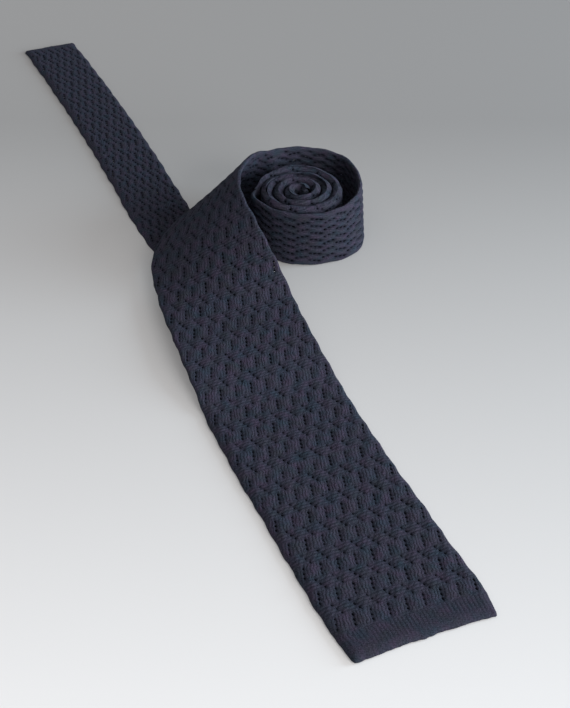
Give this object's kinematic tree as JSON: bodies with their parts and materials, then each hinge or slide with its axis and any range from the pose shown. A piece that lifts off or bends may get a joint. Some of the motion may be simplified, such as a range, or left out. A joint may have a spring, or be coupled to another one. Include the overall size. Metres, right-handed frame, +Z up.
{
  "type": "necktie",
  "caption": "Knitted openwork necktie with square ends, rolled up from the neck, its wide blade and narrow tail lying flat.",
  "frame": {"origin": "on the table, under the core of the roll", "axes": "+Y along the flat strip from the blade's end towards the tail's end, +Z up from the table, +X from the flat strip towards the roll"},
  "size_m": [0.1191, 0.483, 0.0385],
  "materials": {
    "openwork_knit": "matte navy openwork knit with a soft sheen",
    "rib_knit": "matte navy fine rib knit",
    "seam_thread": "dark navy sewing thread",
    "label_ribbon": "plain slate woven ribbon, blank"
  },
  "bodies": {
    "roll": {"neck_fold": "openwork_knit", "outer_wrap": "openwork_knit", "blade_windings": "openwork_knit", "tail_windings": "openwork_knit", "blade_turndown": "openwork_knit", "tail_turndown": "openwork_knit", "tail_foldback": "openwork_knit", "tail_underrun": "openwork_knit"},
    "blade_upper": {"blade_upper_front_ply": "openwork_knit", "blade_upper_back_ply": "openwork_knit", "blade_upper_seam": "seam_thread", "keeper_label": "label_ribbon", "keeper_tacks": "seam_thread", "care_label": "label_ribbon"},
    "blade_end": {"blade_end_front_ply": "openwork_knit", "blade_end_back_ply": "openwork_knit", "blade_end_seam": "seam_thread", "blade_hem_band": "rib_knit", "blade_hem_link": "seam_thread", "blade_end_tack": "seam_thread"},
    "tail_upper": {"tail_upper_front_ply": "openwork_knit", "tail_upper_back_ply": "openwork_knit", "tail_upper_seam": "seam_thread"},
    "tail_end": {"tail_end_front_ply": "openwork_knit", "tail_end_back_ply": "openwork_knit", "tail_end_seam": "seam_thread", "tail_hem_band": "rib_knit", "tail_hem_link": "seam_thread", "tail_end_tack": "seam_thread"}
  },
  "joints": [
    {"name": "blade_lift", "type": "hinge", "parent": "roll", "child": "blade_upper", "pos_m": [-0.0575, -0.12, 0.0026], "axis": [-1, 0, 0], "range_deg": [0, 70]},
    {"name": "blade_fold", "type": "hinge", "parent": "blade_upper", "child": "blade_end", "pos_m": [-0.0565, -0.184, 0.0026], "axis": [-1, 0, 0], "range_deg": [0, 80]},
    {"name": "tail_lift", "type": "hinge", "parent": "roll", "child": "tail_upper", "pos_m": [-0.062, 0.058, 0.0026], "axis": [1, 0, 0], "range_deg": [0, 70]},
    {"name": "tail_fold", "type": "hinge", "parent": "tail_upper", "child": "tail_end", "pos_m": [-0.066, 0.148, 0.0026], "axis": [1, 0, 0], "range_deg": [0, 80]}
  ]
}
